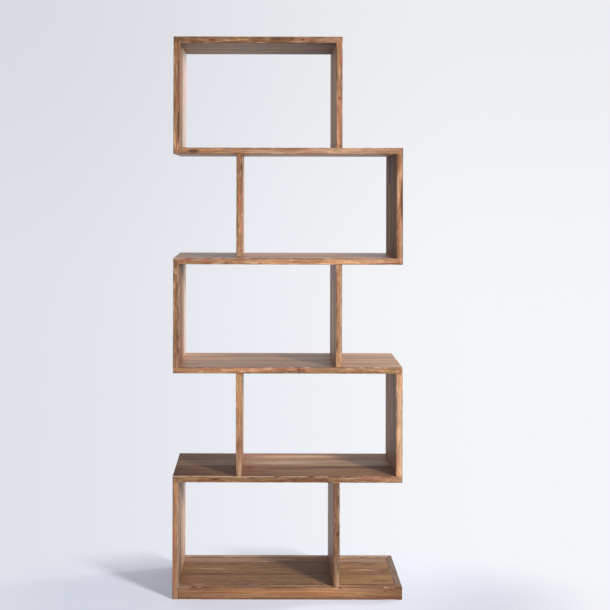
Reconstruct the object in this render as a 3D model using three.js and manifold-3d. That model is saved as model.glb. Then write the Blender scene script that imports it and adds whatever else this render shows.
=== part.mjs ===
// Zigzag bookshelf in solid wood: five open tiers that step left and right as they go up.
//
// Every tier has one outer side board and one divider. The outer sides are mitred to the
// shelves with a loose spline in each corner, and the dividers stand between the shelves on
// dowels. The base is a shallow frame of rails round a panel, with the lowest side board
// running past it to the floor.
//
// Millimetres, +Z up, +X to the right seen from the front, the front at -Y. The origin is
// the middle of the footprint, on the floor.
import * as THREE from 'three';
import { mergeVertices } from 'three/addons/utils/BufferGeometryUtils.js';
import Module from 'manifold-3d';

const wasm = await Module();
wasm.setup();

// Driving dimensions of the whole shelf
const overall_width = 735;
const overall_depth = 300;
const overall_height = 1800;
const board_thickness = 20;
const base_height = 40;

// The tiers from the floor up. Each tier's divider stands on the side opposite its outer
// side board, with its outer face about divider_inset in from the end of the shelves. The
// shelf is built by hand, so the clear heights and the insets differ a little.
const outer_sides = ['left', 'right', 'left', 'right', 'left'];
const clear_height_shares = [0.201, 0.198, 0.198, 0.201, 0.202];
const divider_inset = 198;
const divider_inset_shares = [1.01, 1.02, 0.98, 1.02, 0.98];

// Base frame
const rail_thickness = 22;
const batten_width = 20;
const batten_height = 16;

// Loose splines in the mitres, each stopped short of the edges so that it stays hidden
const spline_thickness = 4;
const spline_width = 14;
const spline_stop = 25;
const rail_spline_stop = 8;
const spline_place_share = 0.56;

// Dowels, two to a butt joint
const dowel_diameter = 8;
const dowel_length = 36;
const dowel_depth_in_face = 11;
const dowel_edge_distance = 75;
const dowel_end_space = 1;
const dowel_chamfer = 1;

// Fits and finish
const glue_gap = 0.3;
const fit_clearance = 0.3;
const arris_radius = 1.2;
const seam_radius = 0.5;

// Facets of the round forms
const arris_steps = 3;
const dowel_sides = 20;

// Places worked out from the sizes above
const total_clear_height = overall_height - base_height - board_thickness * outer_sides.length;
const tiers = outer_sides.map((outer_side, index) => ({
  outer_side,
  clear_height: total_clear_height * clear_height_shares[index],
  divider_inset: divider_inset * divider_inset_shares[index],
}));
const left_end = -overall_width / 2;
const right_end = overall_width / 2;
const front_face = -overall_depth / 2;
const back_face = overall_depth / 2;

const along_x = new THREE.Vector3(1, 0, 0);
const along_y = new THREE.Vector3(0, 1, 0);
const along_z = new THREE.Vector3(0, 0, 1);

// Solids: a closed geometry becomes a solid that can be cut, and a solid a geometry again
function toSolid(geometry) {
  const plain = geometry.clone();
  plain.deleteAttribute('normal');
  plain.deleteAttribute('uv');
  const merged = mergeVertices(plain);
  return new wasm.Manifold(new wasm.Mesh({
    numProp: 3,
    vertProperties: new Float32Array(merged.attributes.position.array),
    triVerts: new Uint32Array(merged.index.array),
  }));
}

function toGeometry(solid) {
  const mesh = solid.getMesh();
  const geometry = new THREE.BufferGeometry();
  geometry.setAttribute('position', new THREE.BufferAttribute(mesh.vertProperties, mesh.numProp));
  geometry.setIndex(new THREE.BufferAttribute(mesh.triVerts, 1));
  geometry.computeVertexNormals();
  return geometry;
}

// A bar of rectangular section with eased long edges, between two opposite corners. Its
// length lies along the axis named, and only the edges along the length are eased.
function easedBar(low, high, axis, radius) {
  const size = new THREE.Vector3().subVectors(high, low);
  const middle = new THREE.Vector3().addVectors(low, high).multiplyScalar(1 / 2);
  const turned = {
    x: { width: size.z, height: size.y, length: size.x, basis: [along_z, along_y, along_x] },
    y: { width: size.x, height: size.z, length: size.y, basis: [along_x, along_z, along_y] },
    z: { width: size.x, height: size.y, length: size.z, basis: [along_x, along_y, along_z] },
  }[axis];
  const section = roundedRectangle(turned.width, turned.height, radius);
  const geometry = new THREE.ExtrudeGeometry(section, {
    depth: turned.length,
    bevelEnabled: false,
    curveSegments: arris_steps,
  });
  geometry.translate(0, 0, -turned.length / 2);
  const [u, v, w] = turned.basis;
  const mirrored = new THREE.Vector3().crossVectors(u, v).dot(w) < 0;
  geometry.applyMatrix4(new THREE.Matrix4().makeBasis(mirrored ? u.clone().negate() : u, v, w));
  geometry.translate(middle.x, middle.y, middle.z);
  return toSolid(geometry);
}

function roundedRectangle(width, height, radius) {
  const x = width / 2;
  const y = height / 2;
  const shape = new THREE.Shape();
  shape.moveTo(x, -y + radius);
  shape.absarc(x - radius, y - radius, radius, 0, Math.PI / 2);
  shape.absarc(-x + radius, y - radius, radius, Math.PI / 2, Math.PI);
  shape.absarc(-x + radius, -y + radius, radius, Math.PI, Math.PI * 3 / 2);
  shape.absarc(x - radius, -y + radius, radius, Math.PI * 3 / 2, Math.PI * 2);
  shape.closePath();
  return shape;
}

// A mitred corner: the joint runs from the outer corner to the inner one, and along_joint
// is the direction of the edge where the two boards meet.
function mitre(name, outer, inner, along_joint, joint_length, stop) {
  const across = new THREE.Vector3().subVectors(inner, outer);
  const reach = across.length();
  across.normalize();
  const normal = new THREE.Vector3().crossVectors(across, along_joint);
  const middle = new THREE.Vector3().lerpVectors(outer, inner, 1 / 2);
  const seat = new THREE.Vector3().lerpVectors(outer, inner, spline_place_share);
  return { name, normal, across, along_joint, middle, seat, reach, joint_length, stop };
}

// A box set square to a mitre: its sizes are taken across the joint face, in the joint
// face and along the joint.
function boxAtMitre(joint, centre, normal_size, across_size, along_size) {
  const geometry = new THREE.BoxGeometry(normal_size, across_size, along_size);
  const { normal, across, along_joint } = joint;
  geometry.applyMatrix4(new THREE.Matrix4().makeBasis(normal, across, along_joint));
  geometry.translate(centre.x, centre.y, centre.z);
  return toSolid(geometry);
}

// Cuts the end of a board at a mitre, on the side away from the board's own middle, and
// cuts its half of the groove for the spline.
function cutMitre(solid, board_middle, joint) {
  const { normal, middle, seat, reach, joint_length, stop } = joint;
  const side = new THREE.Vector3().subVectors(board_middle, middle).dot(normal) > 0 ? -1 : 1;
  const waste_size = reach * 2;
  const waste_centre = middle.clone().addScaledVector(normal, side * (waste_size - glue_gap) / 2);
  const waste = boxAtMitre(joint, waste_centre, waste_size, waste_size, joint_length * 2);
  const groove = boxAtMitre(
    joint,
    seat,
    spline_width + fit_clearance * 2,
    spline_thickness + fit_clearance * 2,
    joint_length - stop * 2 + fit_clearance * 2,
  );
  return solid.subtract(waste).subtract(groove);
}

function splineSolid(joint) {
  const length = joint.joint_length - joint.stop * 2;
  return boxAtMitre(joint, joint.seat, spline_width, spline_thickness, length);
}

// A dowel is a rod with chamfered ends, and its hole is a little wider and longer. Both lie
// along the dowel's direction. The start is the point where the dowel's axis crosses the
// joint face: the dowel reaches back into the face board, and forward into the end grain of
// the board that stands on it.
function dowelGeometry(radius, length, chamfer) {
  const half = length / 2;
  const profile = [
    new THREE.Vector2(0, -half),
    new THREE.Vector2(radius - chamfer, -half),
    new THREE.Vector2(radius, -half + chamfer),
    new THREE.Vector2(radius, half - chamfer),
    new THREE.Vector2(radius - chamfer, half),
    new THREE.Vector2(0, half),
  ];
  return new THREE.LatheGeometry(profile, dowel_sides);
}

function alongDirection(geometry, centre, direction) {
  geometry.applyQuaternion(new THREE.Quaternion().setFromUnitVectors(along_y, direction));
  geometry.translate(centre.x, centre.y, centre.z);
  return toSolid(geometry);
}

function dowelCentre(dowel) {
  const ahead = dowel_length / 2 - dowel_depth_in_face;
  return dowel.start.clone().addScaledVector(dowel.direction, ahead);
}

function dowelSolid(dowel) {
  const geometry = dowelGeometry(dowel_diameter / 2, dowel_length, dowel_chamfer);
  return alongDirection(geometry, dowelCentre(dowel), dowel.direction);
}

function dowelHole(dowel) {
  const radius = dowel_diameter / 2 + fit_clearance;
  const geometry = new THREE.CylinderGeometry(
    radius,
    radius,
    dowel_length + dowel_end_space * 2,
    dowel_sides,
  );
  return alongDirection(geometry, dowelCentre(dowel), dowel.direction);
}

function woodMaterial(color, roughness) {
  return new THREE.MeshStandardMaterial({ color, roughness, metalness: 0 });
}

// A named piece, with its own origin at its middle
function addPiece(group, name, solid, material) {
  const geometry = toGeometry(solid);
  geometry.computeBoundingBox();
  const centre = geometry.boundingBox.getCenter(new THREE.Vector3());
  geometry.translate(-centre.x, -centre.y, -centre.z);
  const mesh = new THREE.Mesh(geometry, material);
  mesh.name = name;
  mesh.position.copy(centre);
  group.add(mesh);
}

// Heights: the underside and top of every shelf, from the base up
const shelf_tops = [base_height];
const shelf_undersides = [0];
for (const tier of tiers) {
  const underside = shelf_tops.at(-1) + tier.clear_height;
  shelf_undersides.push(underside);
  shelf_tops.push(underside + board_thickness);
}
const top_index = tiers.length;

// Uprights: where each tier's outer side and divider stand, seen from the front
function uprightSpans(tier) {
  const from_left = (inset) => [left_end + inset, left_end + inset + board_thickness];
  const from_right = (inset) => [right_end - inset - board_thickness, right_end - inset];
  const outer_is_left = tier.outer_side === 'left';
  return {
    side: outer_is_left ? from_left(0) : from_right(0),
    divider: outer_is_left ? from_right(tier.divider_inset) : from_left(tier.divider_inset),
  };
}
const spans = tiers.map(uprightSpans);

// The top board reaches from the outer side to the far face of the top tier's divider
function shelfSpan(index) {
  if (index < top_index) {
    return [left_end, right_end];
  }
  const { side, divider } = spans[index - 1];
  return [Math.min(side[0], divider[0]), Math.max(side[1], divider[1])];
}

// Mitred corners, tier by tier. An outer side meets the shelf above it and the shelf below
// it. The lowest side has no mitre at its foot, and the top tier's divider has one at its
// head, because the top board ends there.
const mitres = [];

function shelfMitre(name, shelf_index, upright_span, upright_is_above) {
  const [upright_left, upright_right] = upright_span;
  const [shelf_left] = shelfSpan(shelf_index);
  const at_left_end = upright_left === shelf_left;
  const outer_x = at_left_end ? upright_left : upright_right;
  const inner_x = at_left_end ? upright_right : upright_left;
  const underside = shelf_undersides[shelf_index];
  const top = shelf_tops[shelf_index];
  const outer_z = upright_is_above ? underside : top;
  const inner_z = upright_is_above ? top : underside;
  return mitre(
    name,
    new THREE.Vector3(outer_x, 0, outer_z),
    new THREE.Vector3(inner_x, 0, inner_z),
    along_y,
    overall_depth,
    spline_stop,
  );
}

tiers.forEach((tier, index) => {
  const number = index + 1;
  const { side, divider } = spans[index];
  const above = shelfMitre(`tier_${number}_head_spline`, index + 1, side, false);
  mitres.push({ joint: above, shelf: index + 1, upright: `tier_${number}_side` });
  if (index > 0) {
    const below = shelfMitre(`tier_${number}_foot_spline`, index, side, true);
    mitres.push({ joint: below, shelf: index, upright: `tier_${number}_side` });
  }
  if (index + 1 === top_index) {
    const corner = shelfMitre('top_right_spline', index + 1, divider, false);
    mitres.push({ joint: corner, shelf: index + 1, upright: `tier_${number}_divider` });
  }
});

// Dowels in the butt joints: each divider's foot and head, and the lowest side board
// against the ends of the base rails
const dowels = [];
const dowel_places = [
  { end: 'front', y: front_face + dowel_edge_distance },
  { end: 'back', y: back_face - dowel_edge_distance },
];

tiers.forEach((tier, index) => {
  const number = index + 1;
  const x = (spans[index].divider[0] + spans[index].divider[1]) / 2;
  for (const { end, y } of dowel_places) {
    dowels.push({
      name: `tier_${number}_foot_dowel_${end}`,
      start: new THREE.Vector3(x, y, shelf_tops[index]),
      direction: along_z.clone(),
      shelf: index,
      upright: `tier_${number}_divider`,
    });
    if (number < top_index) {
      dowels.push({
        name: `tier_${number}_head_dowel_${end}`,
        start: new THREE.Vector3(x, y, shelf_undersides[index + 1]),
        direction: along_z.clone().negate(),
        shelf: index + 1,
        upright: `tier_${number}_divider`,
      });
    }
  }
});

const rail_dowels = ['front', 'back'].map((end) => ({
  name: `base_${end}_rail_dowel`,
  start: new THREE.Vector3(
    spans[0].side[1],
    end === 'front' ? front_face + rail_thickness / 2 : back_face - rail_thickness / 2,
    base_height / 2,
  ),
  direction: along_x.clone(),
  rail: end,
}));

// Finishes: one warm wood for the boards, a little darker on the base, and plain beech for
// the hidden joinery. Each piece gets a material of its own.
const board_color = 0xa87650;
const base_color = 0xa07049;
const joinery_color = 0xcdb48c;
const board_roughness = 0.55;
const joinery_roughness = 0.8;

const shelf_unit = new THREE.Group();

// Shelves above the base, with their mitred ends, spline grooves and dowel holes
function buildShelf(index) {
  const [x_low, x_high] = shelfSpan(index);
  const low = new THREE.Vector3(x_low, front_face, shelf_undersides[index]);
  const high = new THREE.Vector3(x_high, back_face, shelf_tops[index]);
  const middle = new THREE.Vector3().addVectors(low, high).multiplyScalar(1 / 2);
  let solid = easedBar(low, high, 'x', arris_radius);
  for (const { joint } of mitres.filter((entry) => entry.shelf === index)) {
    solid = cutMitre(solid, middle, joint);
  }
  for (const dowel of dowels.filter((entry) => entry.shelf === index)) {
    solid = solid.subtract(dowelHole(dowel));
  }
  return solid;
}

for (let index = 1; index <= top_index; index += 1) {
  const name = index === top_index ? 'top_board' : `shelf_${index}`;
  addPiece(shelf_unit, name, buildShelf(index), woodMaterial(board_color, board_roughness));
}

// Uprights. A mitred end runs through the thickness of the shelf before it is cut, a butt
// end stops a glue gap short of the shelf, and the lowest side stands on the floor.
function buildUpright(name, span, foot, head) {
  const low = new THREE.Vector3(span[0], front_face, foot);
  const high = new THREE.Vector3(span[1], back_face, head);
  const middle = new THREE.Vector3().addVectors(low, high).multiplyScalar(1 / 2);
  let solid = easedBar(low, high, 'z', arris_radius);
  for (const { joint } of mitres.filter((entry) => entry.upright === name)) {
    solid = cutMitre(solid, middle, joint);
  }
  for (const dowel of dowels.filter((entry) => entry.upright === name)) {
    solid = solid.subtract(dowelHole(dowel));
  }
  return solid;
}

tiers.forEach((tier, index) => {
  const number = index + 1;
  const { side, divider } = spans[index];
  const is_top = number === top_index;
  const side_name = `tier_${number}_side`;
  let side_solid = buildUpright(side_name, side, shelf_undersides[index], shelf_tops[index + 1]);
  if (index === 0) {
    for (const dowel of rail_dowels) {
      side_solid = side_solid.subtract(dowelHole(dowel));
    }
  }
  addPiece(shelf_unit, side_name, side_solid, woodMaterial(board_color, board_roughness));
  const divider_name = `tier_${number}_divider`;
  const divider_foot = shelf_tops[index] + glue_gap;
  const divider_head = is_top ? shelf_tops[index + 1] : shelf_undersides[index + 1] - glue_gap;
  const divider_solid = buildUpright(divider_name, divider, divider_foot, divider_head);
  addPiece(shelf_unit, divider_name, divider_solid, woodMaterial(board_color, board_roughness));
});

// Base frame: front and back rails between the lowest side board and the mitred end rail
const base_left = spans[0].side[1] + glue_gap;
const end_rail_face = right_end - rail_thickness;

function railMitre(end) {
  const outer_y = end === 'front' ? front_face : back_face;
  const inner_y = end === 'front' ? front_face + rail_thickness : back_face - rail_thickness;
  return mitre(
    `base_${end}_corner_spline`,
    new THREE.Vector3(right_end, outer_y, base_height / 2),
    new THREE.Vector3(end_rail_face, inner_y, base_height / 2),
    along_z,
    base_height,
    rail_spline_stop,
  );
}
const rail_mitres = { front: railMitre('front'), back: railMitre('back') };

const base_frame = new THREE.Group();
for (const end of ['front', 'back']) {
  const y_low = end === 'front' ? front_face : back_face - rail_thickness;
  const low = new THREE.Vector3(base_left, y_low, 0);
  const high = new THREE.Vector3(right_end, y_low + rail_thickness, base_height);
  const middle = new THREE.Vector3().addVectors(low, high).multiplyScalar(1 / 2);
  let rail = cutMitre(easedBar(low, high, 'x', arris_radius), middle, rail_mitres[end]);
  for (const dowel of rail_dowels.filter((entry) => entry.rail === end)) {
    rail = rail.subtract(dowelHole(dowel));
  }
  addPiece(base_frame, `base_${end}_rail`, rail, woodMaterial(base_color, board_roughness));
}

const end_rail_low = new THREE.Vector3(end_rail_face, front_face, 0);
const end_rail_high = new THREE.Vector3(right_end, back_face, base_height);
const end_rail_middle = new THREE.Vector3((end_rail_face + right_end) / 2, 0, base_height / 2);
let end_rail = easedBar(end_rail_low, end_rail_high, 'y', arris_radius);
for (const joint of Object.values(rail_mitres)) {
  end_rail = cutMitre(end_rail, end_rail_middle, joint);
}
addPiece(base_frame, 'base_end_rail', end_rail, woodMaterial(base_color, board_roughness));

// Base panel, flush with the top of the rails, and the battens that it is glued down on
const panel_low = new THREE.Vector3(
  base_left,
  front_face + rail_thickness + glue_gap,
  base_height - board_thickness,
);
const panel_high = new THREE.Vector3(
  end_rail_face - glue_gap,
  back_face - rail_thickness - glue_gap,
  base_height,
);
let base_panel = easedBar(panel_low, panel_high, 'x', seam_radius);
for (const dowel of dowels.filter((entry) => entry.shelf === 0)) {
  base_panel = base_panel.subtract(dowelHole(dowel));
}
addPiece(base_frame, 'base_panel', base_panel, woodMaterial(base_color, board_roughness));

const batten_top = panel_low.z - glue_gap;
for (const end of ['front', 'back']) {
  const y_low = end === 'front' ? panel_low.y : panel_high.y - batten_width;
  const low = new THREE.Vector3(panel_low.x, y_low, batten_top - batten_height);
  const high = new THREE.Vector3(panel_high.x, y_low + batten_width, batten_top);
  const batten = easedBar(low, high, 'x', seam_radius);
  addPiece(base_frame, `base_${end}_batten`, batten, woodMaterial(joinery_color, joinery_roughness));
}
shelf_unit.add(base_frame);

// Hidden joinery
const joinery = new THREE.Group();
const all_mitres = [...mitres.map((entry) => entry.joint), ...Object.values(rail_mitres)];
for (const joint of all_mitres) {
  const material = woodMaterial(joinery_color, joinery_roughness);
  addPiece(joinery, joint.name, splineSolid(joint), material);
}
for (const dowel of [...dowels, ...rail_dowels]) {
  const material = woodMaterial(joinery_color, joinery_roughness);
  addPiece(joinery, dowel.name, dowelSolid(dowel), material);
}
shelf_unit.add(joinery);

export default shelf_unit;
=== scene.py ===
# %% [markdown]
# # A zigzag bookshelf in oiled hardwood
#
# The frame gives the real size and place of every board, rail, spline and dowel. This
# lesson keeps those places and makes the boards look like wood: each one becomes a finer
# surface with eased edges and plank seams, and a wood finish is laid over all of them.

import math

import bpy
import numpy as np
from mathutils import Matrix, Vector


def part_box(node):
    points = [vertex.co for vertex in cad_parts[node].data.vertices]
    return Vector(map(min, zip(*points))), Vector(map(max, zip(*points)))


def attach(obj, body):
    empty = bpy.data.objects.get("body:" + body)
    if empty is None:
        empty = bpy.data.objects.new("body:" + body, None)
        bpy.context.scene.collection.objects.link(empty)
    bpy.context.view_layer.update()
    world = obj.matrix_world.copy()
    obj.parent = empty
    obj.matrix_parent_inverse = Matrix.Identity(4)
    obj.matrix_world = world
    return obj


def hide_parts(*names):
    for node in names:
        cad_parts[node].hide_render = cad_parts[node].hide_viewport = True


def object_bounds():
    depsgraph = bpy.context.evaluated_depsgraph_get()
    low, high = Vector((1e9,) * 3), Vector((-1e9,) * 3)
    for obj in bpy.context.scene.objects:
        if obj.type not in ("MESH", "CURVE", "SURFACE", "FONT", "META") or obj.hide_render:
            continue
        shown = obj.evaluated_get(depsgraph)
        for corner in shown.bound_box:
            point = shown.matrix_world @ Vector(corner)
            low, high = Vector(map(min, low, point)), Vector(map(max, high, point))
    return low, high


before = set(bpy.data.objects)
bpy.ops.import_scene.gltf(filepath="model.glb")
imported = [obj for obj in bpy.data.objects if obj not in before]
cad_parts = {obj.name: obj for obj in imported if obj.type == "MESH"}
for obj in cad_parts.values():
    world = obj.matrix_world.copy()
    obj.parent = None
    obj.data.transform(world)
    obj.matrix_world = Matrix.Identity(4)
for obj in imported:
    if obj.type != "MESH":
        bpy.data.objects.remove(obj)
cad_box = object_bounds()
MM = 0.001
scene = bpy.context.scene
scene.view_settings.view_transform = "Standard"


def new_object(name, data):
    """An object of the scene that shows the data."""
    made = bpy.data.objects.new(name, data)
    scene.collection.objects.link(made)
    return made


print("frame loaded with", len(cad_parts), "nodes, height", round(cad_box[1][2], 3), "m")

# %% [markdown]
# ## Camera
#
# The picture was taken with the camera level, some 1.3 m up and a little left of the
# middle. A level camera keeps the uprights parallel. Tilting it down would also have shown
# the foot of the shelf, but the uprights would lean, so the lens is shifted instead.

# %% Camera
PICTURE_SIDE = 610
SENSOR_WIDTH = 36.0

camera_left = 81 * MM
camera_height = 1316.7 * MM
camera_distance = 3444.4 * MM
camera_roll = -0.0022
focal_length_in_pixels = 1077.3
level_pixel = (262.8, 187.7)


def make_camera():
    """A level camera on the -Y side, with its shift as a share of the picture's side."""
    data = bpy.data.cameras.new("camera")
    data.sensor_width = SENSOR_WIDTH
    data.lens = focal_length_in_pixels / PICTURE_SIDE * SENSOR_WIDTH
    half = PICTURE_SIDE / 2
    data.shift_x = (half - level_pixel[0]) / PICTURE_SIDE
    data.shift_y = (level_pixel[1] - half) / PICTURE_SIDE
    camera = new_object("camera", data)
    camera.location = (-camera_left, cad_box[0][1] - camera_distance, camera_height)
    camera.rotation_euler = (math.pi / 2, camera_roll, 0)
    scene.camera = camera
    return camera


camera = make_camera()
shift = (round(camera.data.shift_x, 3), round(camera.data.shift_y, 3))
print("lens", round(camera.data.lens, 1), "mm, shift", shift)

# %% [markdown]
# ## The section of a board
#
# A real board is a few planks glued edge to edge, planed, cut to length and sanded until its
# edges are soft. A box with a bevel would give the outline but no glue lines and no wear.
# Here the section of the board, a rectangle with rounded corners and a small groove at each
# glue line, is worked out first, and is then carried along the grain.

# %% The section of a board
ARC_STEPS = 4
EDGE_POINTS = 6
FACE_SPACING = 6 * MM
GROOVE_HALF_WIDTH = 0.5 * MM
LARGEST_RADIUS = 1.6 * MM
SUPPORT_SPACING = 0.7 * MM
KEPT_CLEAR = 3


def distance_to(marks, places):
    """How far each place lies from the nearest mark, or 1 m where there are no marks."""
    return np.abs(np.subtract.outer(places, marks)).min(axis=1, initial=1.0)


def places_round(even, marks, half_width, near):
    """The even places, less those within KEPT_CLEAR half widths of a mark, and a few places
    round each mark, given in half widths."""
    even = even[distance_to(marks, even) > KEPT_CLEAR * half_width]
    added = np.add.outer(marks, np.array(near) * half_width).ravel()
    return np.unique(np.round(np.concatenate([even, added]), 6))


def face_places(width, seams):
    """Places across a face: even steps, a point close to each corner and five at each seam."""
    first, last = LARGEST_RADIUS, width - LARGEST_RADIUS
    even = np.linspace(first, last, max(2, round(width / FACE_SPACING)) + 1)
    across = places_round(even, seams, GROOVE_HALF_WIDTH, [-1, -0.5, 0, 0.5, 1])
    support = np.round([first + SUPPORT_SPACING, last - SUPPORT_SPACING], 6)
    return np.unique(np.concatenate([across, support]))


def board_section(width, thickness, seams):
    """The closed outline of a board's section, as whole arrays.

    A point has a place on the sharp rectangle, p across and m through the thickness, and
    the shares of the corner's radius by which it is drawn in: 1 - sin(a) across and
    1 - cos(a) through on an arc, and nothing on a face. corner is -1 on a face."""
    across = face_places(width, seams)
    rise = np.linspace(LARGEST_RADIUS, thickness - LARGEST_RADIUS, EDGE_POINTS)
    angle = np.linspace(0, math.pi / 2, ARC_STEPS + 1)
    in_p, in_m = 1 - np.sin(angle), 1 - np.cos(angle)

    def face(p, m):
        p, m = np.broadcast_arrays(p, m)
        return p, m, 0 * p, 0 * p, 0 * p - 1

    def arc(p, m, sign_p, sign_m, corner, backwards):
        order = slice(None, None, -1) if backwards else slice(None)
        flat = np.zeros(len(angle))
        return flat + p, flat + m, sign_p * in_p[order], sign_m * in_m[order], flat + corner

    runs = [
        face(across, 0.0),
        arc(width, 0, -1, 1, 0, False),
        face(width, rise),
        arc(width, thickness, -1, -1, 1, True),
        face(across[::-1], thickness),
        arc(0, thickness, 1, -1, 2, False),
        face(0.0, rise[::-1]),
        arc(0, 0, 1, 1, 3, True),
    ]
    names = ("p", "m", "draw_p", "draw_m", "corner")
    return {name: np.concatenate(column) for name, column in zip(names, zip(*runs))}


example = board_section(300 * MM, 20 * MM, [100 * MM, 200 * MM])
print("a section with two glue lines has", len(example["p"]), "points")

# %% [markdown]
# ## Carrying the section along the grain
#
# On a real board nothing is dead straight: the sanded edge is softer in one place than in
# another, the planks stand a hair above or below each other, and the ends are cut to a
# mitre. An array of cubes with a texture would hide all of that. Each ring of the section
# gets its own corner radius and its own small hollows, and the rings are spread between two
# end cuts, so the mitred ends stay flat. Each point also keeps how near it lies to an arris,
# to a glue line and to the front edge, which the finish reads later.

# %% Carrying the section along the grain
RING_SPACING = 7 * MM
PLAIN_RADIUS = 0.85 * MM
RADIUS_CHANGE = 0.45 * MM
BREAK_HALF_WIDTH = 0.4 * MM
GROOVE_DEPTH = 0.4 * MM
GROOVE_STEADY = 0.75
GROOVE_WAVE = 0.2
PLANK_STEP = 0.12 * MM
FACE_WAVE = 0.07 * MM
WAVE_SLANT = 3
TAPER_WIDTH = 8 * MM
EDGE_REACH = 2.0 * MM
FRONT_BLEND = (3 * MM, 14 * MM)
SEAM_STAIN = 5 * MM
ARRIS_STAIN = 7 * MM


def wander(u, random, longest=0.6, waves=6):
    """A smooth random curve between -1 and 1 along u, in metres: a sum of sines, each half as
    long and two thirds as strong as the one before, each with its own random phase."""
    steps = np.arange(waves)
    strength = (2 / 3) ** steps
    phase = random.uniform(0, 2 * math.pi, waves)
    angle = np.asarray(u)[..., None] * 2 * math.pi / longest * 2 ** steps + phase
    return (np.sin(angle) * strength).sum(axis=-1) / strength.sum()


def ring_places(length, breaks):
    """Places along the grain: even steps, with three rings at each end-to-end plank joint."""
    even = np.linspace(0, length, max(4, round(length / RING_SPACING)) + 1)
    return places_round(even, breaks, BREAK_HALF_WIDTH, [-1, 0, 1])


def cut_back(cut, m, thickness):
    """How far a cut end lies back from the full length, at height m through the board:
    nothing for a square cut, m where the low face is the long one, and the rest of the
    thickness where the high face is the long one."""
    if cut == "low":
        return m
    if cut == "high":
        return thickness - m
    return 0 * m


def board_surface(size, seams, breaks, cuts, random, stain_width=SEAM_STAIN):
    """The points of a board, rings by section points, and the values its finish needs.

    A point is its place on the sharp section, drawn in by the ring's corner radius, then
    sunk by the groove, the plank's step and a slow wave; its place along the grain is the
    low cut plus the ring's share of what lies between the two cuts."""
    length, width, thickness = size
    section = board_section(width, thickness, seams)
    places = ring_places(length, [place for row, place in breaks])
    p, m, corner = section["p"], section["m"], section["corner"].astype(int)

    radius = np.stack([wander(places, random) for corner_index in range(4)], axis=1)
    radius = PLAIN_RADIUS + RADIUS_CHANGE * radius
    radius = np.where(corner >= 0, radius[:, corner], 0)

    row = np.searchsorted(seams, p)
    step = random.uniform(0, PLANK_STEP, len(seams) + 1)[row]
    seam_distance = distance_to(seams, p)
    groove = np.clip(1 - seam_distance / GROOVE_HALF_WIDTH, 0, 1)
    change = GROOVE_STEADY + (1 - GROOVE_STEADY) * wander(places, random, GROOVE_WAVE)
    depth = GROOVE_DEPTH * change[:, None] * groove[None, :]
    wave = 0.5 + 0.5 * wander(places[:, None] + WAVE_SLANT * p[None, :], random)
    sunk = depth + step[None, :] + FACE_WAVE * wave

    from_edge = np.minimum(p, width - p)
    taper = np.clip((from_edge - LARGEST_RADIUS) / TAPER_WIDTH, 0, 1)
    on_low = (corner < 0) & (m == 0)
    on_high = (corner < 0) & (m == thickness)
    through = m + radius * section["draw_m"] + sunk * taper * (1.0 * on_low - 1.0 * on_high)
    across = p + radius * section["draw_p"]

    share = (places / length)[:, None]
    low = cut_back(cuts[0], through, thickness)
    high = length - cut_back(cuts[1], through, thickness)
    along = low + share * (high - low)
    points = np.stack([along, across, through], axis=-1)

    broken = np.zeros((len(places), len(p)), int)
    seam = np.broadcast_to(groove, broken.shape)
    for break_row, place in breaks:
        here = row == break_row
        broken += np.outer(places > place, here)
        seam = np.maximum(seam, np.outer(np.abs(places - place) < BREAK_HALF_WIDTH / 2, here))
    plank = random.uniform(0, 1, (len(seams) + 1, len(breaks) + 1))
    from_arris = from_edge + np.minimum(m, thickness - m)
    on_face = (corner >= 0) | on_low | on_high
    values = {
        "plank": plank[row[None, :], broken],
        "seam": seam,
        "edge": np.exp(-from_arris / EDGE_REACH),
        "stain": on_face * np.exp(-(from_edge / ARRIS_STAIN) ** 2),
        "glue": np.exp(-(seam_distance / stain_width) ** 2),
        "row": row,
        "front": np.clip((FRONT_BLEND[1] - p) / (FRONT_BLEND[1] - FRONT_BLEND[0]), 0, 1),
        "height": m / thickness,
        "share": share,
    }
    return points, {key: np.broadcast_to(value, broken.shape) for key, value in values.items()}


points, values = board_surface((540 * MM, 300 * MM, 20 * MM), [100 * MM], [], ("low", "high"),
                               np.random.default_rng(1))
print("a board has", points.shape[0], "rings of", points.shape[1], "points")

# %% [markdown]
# ## From arrays to a piece
#
# The arrays still need faces: a quad between each two rings, and one flat face for each cut
# end. The edges round the ends are marked sharp, because the cut is crisp, and all the other
# edges are smooth. The values are stored on the points, where the finish reads them.

# %% From arrays to a piece
AXIS = {"x": 0, "y": 1, "z": 2}


def board_faces(rings, count, flipped):
    """Quads between neighbouring rings and a flat face at each end, all facing outwards."""
    here = np.arange(rings * count).reshape(rings, count)
    right = np.roll(here, -1, axis=1)
    quads = np.stack([here[:-1], right[:-1], right[1:], here[1:]], axis=-1).reshape(-1, 4)
    ends = [here[0, ::-1], here[-1]]
    if flipped:
        quads = quads[:, ::-1]
        ends = [end[::-1] for end in ends]
    return quads.tolist() + [end.tolist() for end in ends]


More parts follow.
